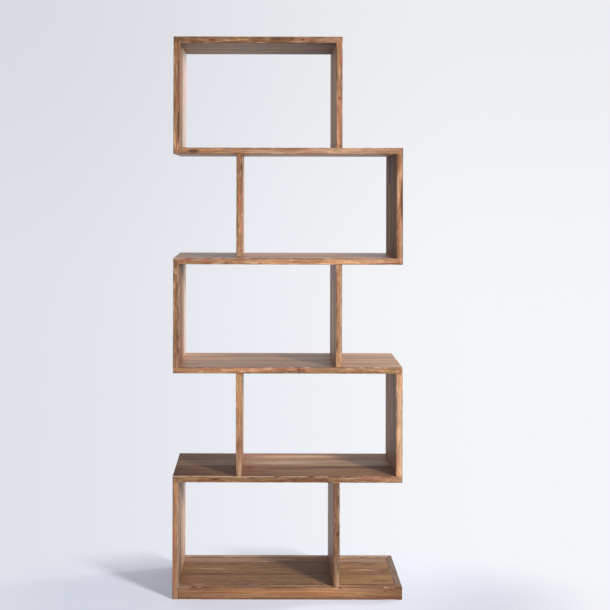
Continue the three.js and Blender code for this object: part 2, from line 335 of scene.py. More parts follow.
def board_mesh(name, points, values, axes, corner):
    """A mesh whose points are the board's lowest corner plus their place along each axis."""
    rings, count = points.shape[:2]
    order = [AXIS[axis] for axis in axes]
    placed = np.zeros((rings, count, 3))
    placed[..., order] = points
    placed += np.asarray(corner)
    flipped = tuple(axes) not in (("x", "y", "z"), ("y", "z", "x"), ("z", "x", "y"))
    mesh = bpy.data.meshes.new(name)
    mesh.from_pydata(placed.reshape(-1, 3), [], board_faces(rings, count, flipped))
    mesh.shade_smooth()
    edges = np.zeros(len(mesh.edges) * 2, int)
    mesh.edges.foreach_get("vertices", edges)
    ring = edges.reshape(-1, 2) // count
    sharp = (ring[:, 0] == ring[:, 1]) & ((ring[:, 0] == 0) | (ring[:, 0] == rings - 1))
    mesh.attributes.new("sharp_edge", "BOOLEAN", "EDGE").data.foreach_set("value", sharp)
    for key, value in values.items():
        layer = mesh.attributes.new(key, "FLOAT", "POINT")
        layer.data.foreach_set("value", np.ascontiguousarray(value, dtype=np.float32).ravel())
    return mesh


print("axes that keep the faces outwards: x y z, y z x and z x y; the others are turned")

# %% [markdown]
# ## Planks, glue lines and tones
#
# Each board is three or four planks side by side, and the narrow ones are often two lengths
# joined end to end, which shows as a sudden change of colour along an edge. The places come
# from a seeded random draw, apart from those that the picture shows plainly. One colour for
# every board would be simpler, but the shelf would look moulded and not built.
#
# So each board gets a few shares, spread evenly along it or one for each plank. Tone
# is lighter above zero. Hue goes from a pinkish tan at 0 to an olive one at 1, and an edge
# that is split has two of them side by side. The share of cream lays a cream colour on the
# wood: sapwood, the cream wood that grew next to the bark, and on the inner faces of the left
# sides of tiers 3 and 5 a painted sheen, the pale light on their back planks. rustic says how
# strongly the figure shows, and polish how far an arris is rubbed pale.
# At a corner the shelf's colour carries on into the side that folds down or up from it.

# %% Planks, glue lines and tones
TIERS = 5
PLANK_WIDTH = 78 * MM
PLANK_WIDTH_CHANGE = 14 * MM
SHORT_BOARD = 420 * MM
BREAK_RANGE = (0.25, 0.75)
LONG_BREAK_CHANCE = 0.4
SHORT_BREAK_CHANCE = 0.12
HUE_RANGE = (0.15, 0.85)
SPLIT_CHANGE = 0.2
SPLIT_WAVE = 0.3
SPLIT_SLOPE = 5
PLANK_TONE = 0.4
CORNER_REACH = (18 * MM, 26 * MM)

# seams and breaks are glue lines and end-to-end joints in millimetres. front and rear are the
# tones of the front edge and of all the rest, from left to right or from foot to head. upper
# is the tone of a whole top, planks goes from the front to the back, and stain is how far a
# glue line darkens the wood.
plain_look = dict(cream_wood_and_sheen=[0], polish=[0.15], rustic=0.45, face_rustic=0.12, front=[0],
    rear=[0], planks=[0], stain=SEAM_STAIN)
board_looks = {
    # Painted shade: the rear tones darken the top board's underside, while upper keeps its top
    # face at the plain tone.
    "top_board": dict(breaks=[442], hue=[0.75, 0.95, 1, 0.8], rustic=0.9,
        front=[-0.65, -0.3, -0.65, -0.05], rear=[-0.25, -0.1, -0.25, -0.45], upper=0),
    "shelf_4": dict(breaks=[391, 577], hue=[0.3, 0.5, 0.4], rustic=0.6,
        front=[0.15, -0.1, 0, -0.3]),
    "shelf_3": dict(hue=[0.2, 0.7, 0.6, 0.5], polish=[0.8, 0.5, 0, 0], rustic=0.6,
        front=[0.2, 0.1, 0.35, 0.05], rear=[0.1, 0.3, 0.35, 0.35]),
    "shelf_2": dict(hue=[0.95, 1, 0.9, 0.6], split_hue=(0.5, 0.5), rustic=0.8,
        front=[0.15, 0.6, 0.2, 0.05], rear=[0.3, 0.1, 0.1, 0.3], planks=[0.05, 0, 0.05, 0]),
    "shelf_1": dict(seams=[131, 214], hue=[0.45, 1, 0.4], polish=[1, 1, 0.7, 0], rustic=0.9,
        face_rustic=0.25, front=[-0.25, -0.4, -0.5, -0.05], rear=[-0.7, -0.25, -0.25, -0.35],
        planks=[-0.1, 0.3, 0.15], stain=4 * MM),
    # Painted sheen: the cream on the back two planks of this side's inner face is painted light;
    # the front plank, which the divider shades, gets none.
    "tier_5_side": dict(seams=[118, 205], hue=[0.6, 0.4, 0.3], split_hue=(1, 0),
        cream_wood_and_sheen=[0, 0.8, 0.95], rustic=0.9, front=[0.7, -0.1, -0.1, -0.15], rear=[-0.2]),
    "tier_5_divider": dict(hue=[0.4, 0.5, 0.3], rustic=0.8, front=[-0.05, -0.15, -0.35, -0.3],
        rear=[-0.15]),
    "tier_4_side": dict(hue=[0.5, 0.4, 0.4], split_hue=(0.6, 1), rustic=0.8,
        front=[-0.35, -0.15, 0.15, -0.65], rear=[-0.55]),
    "tier_4_divider": dict(hue=[0.2, 0.6, 0.4], split_hue=(0.5, 0), rustic=0.8,
        front=[-0.1, 0.3, 0.1, -0.3]),
    # Painted sheen: the cream on the back planks of this side's inner face is painted light,
    # strongest on the back plank.
    "tier_3_side": dict(seams=[126, 212], hue=[0, 0.3, 0.4], cream_wood_and_sheen=[0, 0.1, 0.65],
        polish=[0.45], rustic=1, front=[-0.1, -0.35, 0.05, 0.1], rear=[-0.15],
        planks=[-0.2, 0, 0.05]),
    "tier_3_divider": dict(hue=[0.25, 0.5, 0.3], split_hue=(0, 0.7), rustic=0.7,
        front=[0.1, 0.05, 0, 0.15], rear=[-0.05]),
    "tier_2_side": dict(hue=[0.5, 0.5, 0.3], split_hue=(0.3, 1), rustic=0.6,
        front=[0.9, 0.3, 0.35, 0.55], rear=[-0.25]),
    "tier_2_divider": dict(hue=[0.35, 0.5, 0.6], rustic=0.7, front=[-0.2, -0.15, 0.2, 0.1]),
    "tier_1_side": dict(seams=[110, 196], hue=[0.65, 0.5, 0.5], split_hue=(0, 0.8),
        cream_wood_and_sheen=[0.15, 0.15, 0.25], front=[-0.1, 0.4, 0.25, 0.35],
        rear=[-0.5, -0.25, -0.1, -0.15], planks=[-0.15, 0.05, 0.1]),
    "tier_1_divider": dict(hue=[0.4, 0.3, 0.5], cream_wood_and_sheen=[0.2, 0.1, 0.15], rustic=1,
        front=[-0.2, -0.45, -0.35, -0.25], rear=[-0.05]),
    "base_panel": dict(seams=[94, 202], hue=[1, 0.9, 0.35], cream_wood_and_sheen=[0, 0, 0.25], rustic=0.4,
        face_rustic=0.5, rear=[-0.15, -0.2, -0.15], planks=[0.1, 0, -0.28], stain=6 * MM),
    "base_front_rail": dict(hue=[0.2], polish=[0.9, -0.6, -0.6, -0.2, 0.6], rustic=0.2,
        front=[-0.2, -0.05, 0.15, -0.4]),
    "base_back_rail": dict(cream_wood_and_sheen=[0.25], front=[-0.3]),
    "base_end_rail": dict(hue=[0.9], cream_wood_and_sheen=[0.55], face_rustic=0.35, rear=[-0.58]),
}
shelf_ends = {}
grain_of = {}


def corner_shares(along, length):
    """1 up to 18 mm from a board's foot, and 0 from 26 mm on; and the same from its head."""
    start, end = CORNER_REACH
    foot = np.clip((end - along) / (end - start), 0, 1)
    head = np.clip((end - (length - along)) / (end - start), 0, 1)
    return foot, head


def end_look(values, front, ring):
    """The tone and hue of a board's front edge at one of its rings."""
    point = int(np.argmax(front[ring]))
    tone = values["tone"][ring, point] + PLANK_TONE * values["plank"][ring, point]
    return {"tone": tone, "hue": values["hue"][ring, point]}


def plank_seams(look, width, random):
    """The glue lines across a board: near-even planks, each line moved by a random amount."""
    planks = round(width / PLANK_WIDTH)
    even = np.arange(1, planks) * width / max(planks, 1)
    drawn = even + random.uniform(-1, 1, len(even)) * PLANK_WIDTH_CHANGE
    return [place * MM for place in look["seams"]] if "seams" in look else list(drawn)


def plank_breaks(look, length, rows, random):
    """End-to-end joints as (plank row, place): some rows have one, away from the ends."""
    drawn = random.uniform(*BREAK_RANGE, rows) * length
    chance = LONG_BREAK_CHANCE if length > SHORT_BOARD else SHORT_BREAK_CHANCE
    joined = random.uniform(0, 1, rows) < chance
    seen = [(0, place * MM) for place in look.get("breaks", [])]
    return seen + [(row, drawn[row]) for row in range(1, rows) if joined[row]]


def along_board(shares, share):
    """The value at each point: the given shares, spread evenly along the board."""
    shares = np.asarray(shares, float)
    return np.interp(share, np.linspace(0, 1, len(shares)), shares)


def finish_values(look, values, along, rows, axes, random):
    """Turns each point's row, share, front and height into the values that the finish reads,
    and returns front, which is 1 on the front edge and 0 on the faces. A rail that lies
    along the front or the back is all front edge, and its cream of sapwood and painted sheen
    covers all its sides. On other boards that cream lies on the high face, which on the left
    sides of tiers 3 and 5 is the inner face, where it is painted sheen."""
    keys = ("row", "share", "front", "height")
    row, share, front, height = (values.pop(key) for key in keys)
    if axes == "xzy":
        front = np.ones_like(front)
    front_tone = along_board(look["front"], share)
    rear_tone = along_board(look["rear"], share)
    # Painted shade: where a board has an upper tone, its rear tones darken only the faces below
    # its middle.
    rear_tone = np.where(height > 0.5, look.get("upper", rear_tone), rear_tone)
    rear_tone = rear_tone + np.resize(look["planks"], rows)[row]
    values["tone"] = front * front_tone + (1 - front) * rear_tone
    hue = np.resize(look.get("hue", random.uniform(*HUE_RANGE, rows)), rows)[row]
    low_hue, high_hue = look.get("split_hue", (hue, hue))
    boundary = 0.5 + SPLIT_CHANGE * wander(along, random, SPLIT_WAVE)
    high_half = np.clip((height - boundary) * SPLIT_SLOPE + 0.5, 0, 1)
    edge_hue = low_hue + high_half * (high_hue - low_hue)
    values["hue"] = hue + front * (edge_hue - hue)
    on_edge = axes in ("xzy", "yzx")
    upper_half = np.where(on_edge, 1.0, np.clip(2 * height - 1, 0, 1))
    values["cream_and_sheen"] = np.resize(look["cream_wood_and_sheen"], rows)[row] * upper_half
    values["polish"] = along_board(look["polish"], share)
    values["rustic"] = front * look["rustic"] + (1 - front) * look["face_rustic"]
    return front


def make_board(name, axes, cuts=("square", "square"), corners=(None, None)):
    """One board, rail or panel, in the place of its CAD node, with its grain along the first
    of its axes. Close to a corner, the front edge of a side takes the look of the shelf that
    it folds into."""
    random = np.random.default_rng([ord(letter) for letter in name])
    look = {**plain_look, **board_looks.get(name, {})}
    low, high = (np.array(corner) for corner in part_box(name))
    size = [(high - low)[AXIS[axis]] for axis in axes]
    seams = plank_seams(look, size[1], random)
    rows = len(seams) + 1
    breaks = plank_breaks(look, size[0], rows, random)
    points, values = board_surface(size, seams, breaks, cuts, random, look["stain"])
    along = points[..., 0]
    front = finish_values(look, values, along, rows, axes, random)
    shelf_ends[name] = [end_look(values, front, ring) for ring in (0, -1)]
    for near, shelf in zip(corner_shares(along, size[0]), corners):
        if shelf:
            wanted = shelf["tone"] - PLANK_TONE * values["plank"]
            values["tone"] += near * front * (wanted - values["tone"])
            values["hue"] += near * front * (shelf["hue"] - values["hue"])
    mesh = board_mesh("finished_" + name, points, values, axes, low)
    piece = new_object("finished_" + name, mesh)
    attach(piece, "root")
    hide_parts(name)
    grain_of[name] = axes[0]
    return piece


def left_side(tier):
    """The outer side stands at the left in tiers 1, 3 and 5."""
    return tier % 2 == 1


pieces = {}

# %% [markdown]
# ## The boards of the zigzag
#
# A side and the shelf it folds into meet in a mitre, so one face of each is longer by the
# thickness of the board. Where a shelf turns down into the side below, its top is the long
# face; where it turns up into the side above, its underside is. Dividers butt between two
# shelves and are cut square.

# %% The shelves
for tier in range(1, TIERS):
    name = f"shelf_{tier}"
    cuts = ("high", "low") if left_side(tier) else ("low", "high")
    pieces[name] = make_board(name, "xyz", cuts)
pieces["top_board"] = make_board("top_board", "xyz", ("high", "high"))
print("shelves:", ", ".join(pieces))

# %% The sides and dividers
for tier in range(1, TIERS + 1):
    outer = "low" if left_side(tier) else "high"
    foot = "square" if tier == 1 else outer
    end = 0 if left_side(tier) else -1
    below = None if tier == 1 else shelf_ends[f"shelf_{tier - 1}"][end]
    above = shelf_ends["top_board" if tier == TIERS else f"shelf_{tier}"][end]
    name = f"tier_{tier}_side"
    pieces[name] = make_board(name, "zyx", (foot, outer), (below, above))
    head = "high" if tier == TIERS else "square"
    above = shelf_ends["top_board"][-1] if tier == TIERS else None
    name = f"tier_{tier}_divider"
    pieces[name] = make_board(name, "zyx", ("square", head), (None, above))
print("boards so far:", len(pieces))

# %% The base
pieces["base_panel"] = make_board("base_panel", "xyz")
pieces["base_front_rail"] = make_board("base_front_rail", "xzy", ("square", "low"))
pieces["base_back_rail"] = make_board("base_back_rail", "xzy", ("square", "high"))
pieces["base_end_rail"] = make_board("base_end_rail", "yzx", ("high", "high"))
TRIANGLES_PER_POINT = 2
triangles = TRIANGLES_PER_POINT * sum(len(piece.data.vertices) for piece in pieces.values())
print(len(pieces), "pieces, about", triangles, "triangles")

# %% [markdown]
# ## Helpers for the finishes
#
# A finish is a tree of small nodes. Written out one by one they fill pages, so a few helpers
# add a node, set its values and join its sockets in one call. An input is either a plain
# value or the output of another node.

# %% Helpers for the finishes
FALLING = (1.0, 0.0)


def add(tree, kind, inputs=None, **options):
    """Adds a node; inputs maps a socket's name or number to a value or another output."""
    made = tree.nodes.new("ShaderNode" + kind)
    for option, value in options.items():
        setattr(made, option, value)
    for key, value in (inputs or {}).items():
        if isinstance(value, bpy.types.NodeSocket):
            tree.links.new(value, made.inputs[key])
        else:
            made.inputs[key].default_value = value
    return made


def maths(tree, operation, *values):
    """The output of a Math node on the given values."""
    return add(tree, "Math", dict(enumerate(values)), operation=operation).outputs[0]


def times(tree, first, second):
    """The product of two values."""
    return maths(tree, "MULTIPLY", first, second)


def vector(tree, operation, *values):
    """The output of a Vector Math node: a length is its second output, the rest its first."""
    made = add(tree, "VectorMath", dict(enumerate(values)), operation=operation)
    return made.outputs["Value" if operation in ("LENGTH", "DOT_PRODUCT") else "Vector"]


def scaled(tree, value, factor):
    """A vector or a colour times a number."""
    inputs = {0: value, "Scale": factor}
    return add(tree, "VectorMath", inputs, operation="SCALE").outputs["Vector"]


def smooth(tree, value, start, end, low=0.0, high=1.0):
    """Goes smoothly from low to high while value goes from start to end, and the other way
    with FALLING as low and high."""
    inputs = {"Value": value, "From Min": start, "From Max": end, "To Min": low, "To Max": high}
    return add(tree, "MapRange", inputs, interpolation_type="SMOOTHSTEP").outputs["Result"]


def blend(tree, amount, first, second):
    """Mixes two colours by an amount; in the Mix node these are inputs 0, 6 and 7."""
    inputs = {0: amount, 6: first, 7: second}
    return add(tree, "Mix", inputs, data_type="RGBA", clamp_factor=True).outputs[2]


def noise(tree, place, stretch, detail=2.0, roughness=0.5):
    """Noise whose features are 1 / stretch metres long on each axis."""
    inputs = {"Vector": vector(tree, "MULTIPLY", place, stretch), "Scale": 1.0,
              "Detail": detail, "Roughness": roughness}
    return add(tree, "TexNoise", inputs).outputs["Fac"]


def patchy(tree, place, stretch, detail, *levels):
    """A noise of one stretch and detail that goes smoothly between two of its levels."""
    return smooth(tree, noise(tree, place, stretch, detail), *levels)


def paint(code):
    """The linear colour of a code of six hexadecimal digits, by the curve of a screen."""
    parts = np.array([int(code[i:i + 2], 16) for i in (1, 3, 5)]) / 255
    parts = np.where(parts <= 0.04045, parts / 12.92, ((parts + 0.055) / 1.055) ** 2.4)
    return (*parts.tolist(), 1.0)


def new_group(name, **inputs):
    """An empty node group with an input socket of each name and kind, and what comes in."""
    group = bpy.data.node_groups.new(name, "ShaderNodeTree")
    for socket, kind in inputs.items():
        kind = "NodeSocket" + kind
        group.interface.new_socket(name=socket, in_out="INPUT", socket_type=kind)
    return group, group.nodes.new("NodeGroupInput").outputs


def put_out(group, **values):
    """Gives a group an output socket for each value and joins the value to it."""
    for name in values:
        kind = "NodeSocketFloat"
        group.interface.new_socket(name=name, in_out="OUTPUT", socket_type=kind)
    end = group.nodes.new("NodeGroupOutput")
    for name, value in values.items():
        group.links.new(value, end.inputs[name])


def place_group(tree, group, **inputs):
    """Places a node group in a tree, joins its inputs and returns its outputs by name."""
    return dict(add(tree, "Group", inputs, node_tree=group).outputs.items())


def emptied(holder):
    """The node tree of a material or of the world, without its nodes."""
    holder.use_nodes = True
    holder.node_tree.nodes.clear()
    return holder.node_tree


def show(tree, shader, kind="OutputMaterial"):
    """Joins a shader to the output of its tree."""
    add(tree, kind, {"Surface": shader.outputs[0]})


print("oiled tan in linear light:", [round(part, 3) for part in paint("#A87650")[:3]])

# %% [markdown]
# ## Knots and coloured streaks
#
# A knot is the foot of a branch: a dark, dense spot with the grain parting round it. Random
# spots would be easy but would land anywhere, so the ones that show are listed one by one, each
# with its half width on the three axes. The group puts out the spot itself and a soft halo,
# and the halo later bends the growth lines. The long reddish, pale and dark streaks on the
# front edges and the tops are the same kind of spot, only drawn out along the grain.
# One dark streak, along the back arris of the base, is painted shade.

# %% Knots and coloured streaks
FRONT = cad_box[0][1] / MM
RAGGED_STRETCH = (260, 260, 260)
SPOT_RANGE = (0.9, 1.6)
HALO_RANGE = (0.8, 4.0)
KNOT_RAGGED = 0.7
STREAK_RAGGED = 1.2

# The marks of each board. On the front edges a mark is the x and z of its middle and its half
# widths on the three axes; on the tops the y of its middle stands between x and z.
knots_in_mm = {
    "top board": [(-243, 1789, 11, 7, 2.6), (12, 1794, 9, 7, 3), (46, 1790, 9, 7, 3)],
    "shelf 4": [(-303, 1433, 19, 12, 7)],
    "shelf 2": [(36, 734, 6, 5, 4), (50, 731, 5, 5, 3)],
    "shelf 1": [(-232, 384, 14, 6, 3.5)],
    "left side of tier 5": [(-351.5, 1510, 4.6, 9, 62)],
    "divider of tier 5": [(164, 1603, 4.2, 8, 4.6), (168, 1450, 3, 5, 4)],
    "right side of tier 4": [(367, 1277, 9, 14, 75), (363, 1240, 3, 6, 6)],
    "divider of tier 4": [(-165, 1197, 3.2, 8, 24), (-157, 1095, 3.5, 5, 3)],
    "divider of tier 3": [(158, 815, 2.4, 6, 26)],
    "right side of tier 2": [(352, 444, 1.6, 5, 1.8), (355, 475, 1.3, 4, 1.5)],
    "divider of tier 1": [(160, 209, 4.5, 8, 8), (152, 47, 2.2, 5, 2.6)],
    "front rail": [(170, 37, 4, 4, 2), (313, 27, 2.6, 5, 2.4)],
}
red_streaks_in_mm = {
    "top board": [(-120, 1787, 50, 10, 4), (-290, 1787, 50, 10, 3)],
    "shelf 4": [(250, 1431, 110, 10, 3)],
    "shelf 3": [(-330, 1084, 30, 8, 7), (-258, 1079, 24, 8, 6), (-150, 1086, 26, 8, 5)],
    "shelf 2": [(-250, 736, 80, 10, 2.5), (190, 728, 120, 10, 3)],
    "shelf 1": [
        (80, 379, 240, 12, 5), (-250, 381, 105, 12, 5), (-315, -120, 394, 80, 34, 8),
        (-250, 100, 394, 80, 26, 8), (-122, -40, 394, 34, 55, 8), (120, 390, 260, 10, 2),
    ],
    "left side of tier 5": [
        (-354, 1462, 6, 8, 26), (-355, 1768, 5, 8, 16), (-350, 1600, 3, 8, 170),
    ],
    "divider of tier 5": [(170, 1722, 4, 8, 26), (166, 1475, 6, 8, 28)],
    "right side of tier 4": [(351, 1400, 4, 10, 45), (351, 1190, 4, 10, 70)],
    "divider of tier 4": [(-156, 1290, 4, 10, 60)],
    "left side of tier 3": [(-360, 960, 4, 10, 60)],
    "divider of tier 3": [(156, 960, 5, 10, 130)],
    "divider of tier 2": [(-157, 494, 8, 8, 22)],
    "left side of tier 1": [(-362, 150, 6, 14, 230)],
    "divider of tier 1": [(149, 110, 3, 8, 90)],
    "base": [(-130, -110, 40, 110, 14, 8)],
    "front rail": [(60, 19, 190, 10, 7), (-200, 22, 110, 10, 4), (300, 8, 80, 10, 4)],
}
pale_streaks_in_mm = {
    "top board": [(-14, 1789, 12, 8, 4), (115, 1789, 46, 10, 5)],
    "shelf 4": [(190, 1435, 200, 12, 15), (-60, 1431, 90, 10, 8)],
    "shelf 3": [
        (240, 1081, 120, 10, 5), (-225, 1077, 26, 8, 6), (-112, 1077, 34, 8, 6),
        (-290, 1086, 30, 8, 2.4),
    ],
    "shelf 1": [
        (0, 22, 394, 170, 26, 8), (40, 105, 394, 200, 22, 8), (190, 388, 70, 6, 3),
        (-180, 390, 60, 6, 2.4),
    ],
    "left side of tier 5": [(-356, 1680, 3, 8, 50)],
    "divider of tier 5": [(158, 1600, 3, 8, 40), (164, 1684, 4.5, 8, 34), (157, 1490, 3, 8, 34)],
    "right side of tier 4": [
        (362, 1380, 6, 10, 90), (362, 1150, 6, 10, 90), (353, 1330, 3, 10, 55),
    ],
    "divider of tier 4": [(-155, 1100, 15, 10, 11)],
    "left side of tier 3": [(-352, 1040, 3, 8, 40), (-348, 930, 1.6, 5, 120)],
    "divider of tier 3": [(169, 900, 5, 10, 200)],
    "right side of tier 2": [(362, 540, 8, 10, 230), (357, 560, 7, 10, 130)],
    "divider of tier 2": [(-152, 420, 8, 10, 50)],
    "divider of tier 1": [
        (160, 48, 8, 8, 9), (163, 80, 4, 8, 26), (163, 130, 4, 8, 50), (164, 340, 3, 8, 22),
    ],
    "base": [(-235, 14, 40, 90, 10, 8), (262, 4, 40, 60, 12, 8)],
    "front rail": [(-332, 35, 26, 12, 5.5), (160, 36, 16, 8, 4), (255, 35, 70, 6, 2.6)],
}
dark_streaks_in_mm = {
    "top board": [(-200, 1798, 180, 8, 4)],
    "shelf 3": [(-196, 1077, 9, 6, 3.5), (-88, 1075, 7, 5, 3), (-292, 1088, 12, 6, 3)],
    "shelf 1": [
        (-100, -84, 394, 90, 13, 8), (10, -58, 394, 130, 15, 8), (130, -36, 394, 110, 13, 8),
        (-200, -20, 394, 60, 12, 8), (-124, -48, 394, 12, 22, 6), (-60, 375, 300, 6, 2.4),
    ],
    "left side of tier 5": [(-366, 1560, 3, 6, 110)],
    "divider of tier 4": [(-150, 1385, 3, 6, 30)],
    "left side of tier 1": [(-355, 190, 2.2, 6, 190)],
    "base": [
        (-300, 71, 40, 75, 6, 8), (-215, -34, 40, 165, 6, 8), (-75, -75, 40, 26, 7, 8),
        (300, -95, 40, 60, 14, 8), (-55, 22, 40, 80, 7, 8), (280, 60, 40, 50, 5, 8),
        (-60, -128, 40, 300, 7, 6), (260, -129, 40, 120, 11, 6), (30, -141, 42, 330, 9, 4),
        # Painted shade: the streak at y 149 darkens the shaded back arris of the base.
        (0, 149, 41, 400, 9, 5), (367, 0, 41, 5, 170, 5),
    ],
}


def marks_group(name, marks, raggedness):
    """Distance to the nearest mark, in mark sizes, turned into a spot and a halo."""
    group, entry = new_group(name, Place="Vector")
    nearest = None
    for mark in sum(marks.values(), []):
        placed = mark if len(mark) == 6 else (mark[0], FRONT, *mark[1:])
        centre, half = (tuple(number * MM for number in placed[i:i + 3]) for i in (0, 3))
        moved = vector(group, "SUBTRACT", entry["Place"], centre)
        distance = vector(group, "LENGTH", vector(group, "DIVIDE", moved, half))
        nearest = distance if nearest is None else maths(group, "MINIMUM", nearest, distance)
    rough = noise(group, entry["Place"], RAGGED_STRETCH, 3.0)
    ragged = maths(group, "MULTIPLY_ADD", rough, raggedness, nearest)
    put_out(group, Spot=smooth(group, ragged, *SPOT_RANGE, *FALLING),
            Halo=smooth(group, nearest, *HALO_RANGE, *FALLING))
    return group


knots = marks_group("knots", knots_in_mm, KNOT_RAGGED)
streaks = {
    "Red streak": marks_group("red_streaks", red_streaks_in_mm, STREAK_RAGGED),
    "Pale streak": marks_group("pale_streaks", pale_streaks_in_mm, STREAK_RAGGED),
    "Dark streak": marks_group("dark_streaks", dark_streaks_in_mm, STREAK_RAGGED),
}
print("groups of marks:", knots.name, *(group.name for group in streaks.values()))

# %% [markdown]
# ## The figure of the wood
#
# Growth rings cut by a plank show as long lines that run with the grain and close into
# pointed arches where the plank was cut near the outside of the log. Rings round a drawn
# centre would need a log for each plank. The height lines of a slow noise, stretched along
# the grain and tilted a little, give the same lines and arches for any plank, and the plank's
# own number moves it to another part of the log. Finer noises, stretched the same way, make
# the coloured streaks, the short dark dashes, the fibre and the open pores.

# %% The figure of the wood
PLANK_SHIFT = (7.3, 1.9, 3.1)
RING_TILT = (0.6, 80.0, 105.0)
RING_STRETCH = (0.9, 8, 8)
RING_HEIGHT = 11.0
RIPPLE_STRETCH = (9, 90, 90)
HALO_BEND = 1.6
RING_RISE = (0.35, 0.9)
RING_FALL = (0.93, 1.0)
FIBRE_STRETCH = (16, 620, 620)

# For each output the stretch, detail and roughness of a noise, and its range from 0 to 1.
finer_noises = {
    "Streaks": ((3.0, 34, 34), 4.0, 0.5, 0.46, 0.72),
    "Red": ((2.6, 20, 20), 3.0, 0.5, 0.38, 0.66),
    "Mottle": ((13, 150, 150), 4.0, 0.65, 0.34, 0.66),
    "Dashes": ((30, 240, 240), 3.0, 0.6, 0.5, 0.64),
    "Pores": ((55, 1500, 1500), 1.0, 0.5, 0.62, 0.7),
}


def figure_group():
    """Growth lines are the fraction of a tilted, stretched noise field; streaks, fibre and
    pores are finer stretched noises. X is along the grain, in metres."""
    group, entry = new_group("figure", Along="Vector", Plank="Float", Bend="Float")
    shift = scaled(group, PLANK_SHIFT, entry["Plank"])
    place = vector(group, "ADD", entry["Along"], shift)

    slow = times(group, noise(group, place, RING_STRETCH, 2.0), RING_HEIGHT)
    field = maths(group, "ADD", vector(group, "DOT_PRODUCT", place, RING_TILT), slow)
    field = maths(group, "ADD", field, times(group, entry["Bend"], HALO_BEND))
    field = maths(group, "ADD", field, noise(group, place, RIPPLE_STRETCH, 2.0))
    line = maths(group, "FRACT", field)
    falling = smooth(group, line, *RING_FALL, *FALLING)
    rings = times(group, smooth(group, line, *RING_RISE), falling)

    found = {"Rings": rings, "Fibre": noise(group, place, FIBRE_STRETCH, 2.0)}
    for name, (stretch, detail, roughness, low, high) in finer_noises.items():
        finer = noise(group, place, stretch, detail, roughness)
        found[name] = smooth(group, finer, low, high)
    put_out(group, **found)
    return group


figure = figure_group()
print("figure group has", len(figure.nodes), "nodes")

# %% [markdown]
# ## Worn edges and dirty seams
#
# Hands and dusters polish a sharp edge until it is paler than the face, and old oil darkens
# every glue line. A thin line painted on would be too even. The amount of each is stored on
# the points of the board, and a noise breaks it up, because no edge is worn evenly.

# %% Worn edges and dirty seams
PATCH_STRETCH = (26, 26, 26)
PATCH_RANGE = (0.56, 0.68)
POLISH_PATCHES = 0.22
POLISH_REACH = 0.25
ARRIS_RANGE = (0.45, 0.9)
OIL_RANGE = (0.25, 0.75)
OIL_BREAKS = ((14, 14, 14), 5.0, 0.35, 0.55)
DIRT_FILL = ((60, 60, 60), 2.0, 0.25, 0.6, 0.45, 1.0)


def wear_group():
    """The stored edge value times a patchy noise is the wear, and times the rest of that
    noise it is the oil that darkens an edge; polish makes the worn patches larger. Dirt is
    the stored seam value."""
    group, entry = new_group("edge_wear", Place="Vector", Edge="Float", Seam="Float",
                             Polish="Float")
    place, polish = entry["Place"], entry["Polish"]
    patches = noise(group, place, PATCH_STRETCH, 4.0)
    patches = maths(group, "MULTIPLY_ADD", polish, POLISH_PATCHES, patches)
    patches = smooth(group, patches, *PATCH_RANGE)
    reach = maths(group, "MULTIPLY_ADD", polish, POLISH_REACH, entry["Edge"])
    arris = smooth(group, reach, *ARRIS_RANGE)
    rest = maths(group, "SUBTRACT", 1.0, patches)
    band = smooth(group, entry["Edge"], *OIL_RANGE)
    broken = patchy(group, place, *OIL_BREAKS)
    put_out(group, Wear=times(group, arris, patches),
            Oil=times(group, band, times(group, rest, broken)),
            Dirt=times(group, entry["Seam"], patchy(group, place, *DIRT_FILL)))
    return group


edge_wear = wear_group()
print("wear group has", len(edge_wear.nodes), "nodes")

# %% [markdown]
# ## The oiled finish
#
# The wood is a warm tan with browner growth lines, a few reddish and near-black streaks and
# a satin coat of oil. A photograph would give one board only and repeat on the next. The
# finish is mixed from the groups above in the order in which it comes about: the plain wood
# and its bands, the growth lines and streaks, the cream of sapwood and of painted sheen, tone,
# pores and knots, and over them the stain, the old oil, the worn arris and the dirt in the
# seams. Light wood is a little smoother than dark wood. The boards shine softly, the base is
# drier, and the grain runs along X, Y or Z, so that every board's grain follows its length.

# %% The oiled finish
# Painted sheen and sapwood: this cream is the colour of sapwood, and on the inner faces of the
# left sides of tiers 3 and 5 it is painted sheen.
cream_wood_and_sheen_colour = paint("#EFD8C8")
pale_tan = paint("#DCB695")
brown = paint("#8A6045")
red_brown = paint("#9F5F45")
near_black = paint("#4A2D1E")
pale_edge = paint("#E6C4A6")
dark_edge = paint("#5A3826")
seam_dirt = paint("#35231A")
AXIS_ORDER = {"x": "XYZ", "y": "YXZ", "z": "ZYX"}
BUMP_HEIGHT = 0.35 * MM
BUMP_STRENGTH = 0.35
BAND_SHARE = 1.1
RING_SHARES = (0.3, 0.35)
MOTTLE_MIDDLE = 0.45
MOTTLE_SHARES = (0.5, 0.1)
PLAIN_ROUGHNESS = 0.42

# A range is two levels of a value and what it becomes at each of them, or else 0 and 1. The
# first three are ranges of a noise, after its stretch and detail.
BANDS = ((2.4, 75, 75), 1.0, 0.4, 0.6, -0.5, 0.5)
FLECKS = ((40, 210, 210), 2.0, 0.54, 0.66)
BLOTS = ((7, 45, 45), 3.0, 0.36, 0.56, 0.25, 1.0)
CREAM_AND_SHEEN_CLOUDS = (0.0, 1.0, 0.8, 1.0)
FIBRE_TONES = (0.3, 0.7, 0.9, 1.08)
DULLNESS = (-0.8, 0.35, 0.28, -0.09)

STORED = ("plank", "edge", "seam", "stain", "glue", "tone", "hue", "cream_and_sheen", "polish", "rustic")
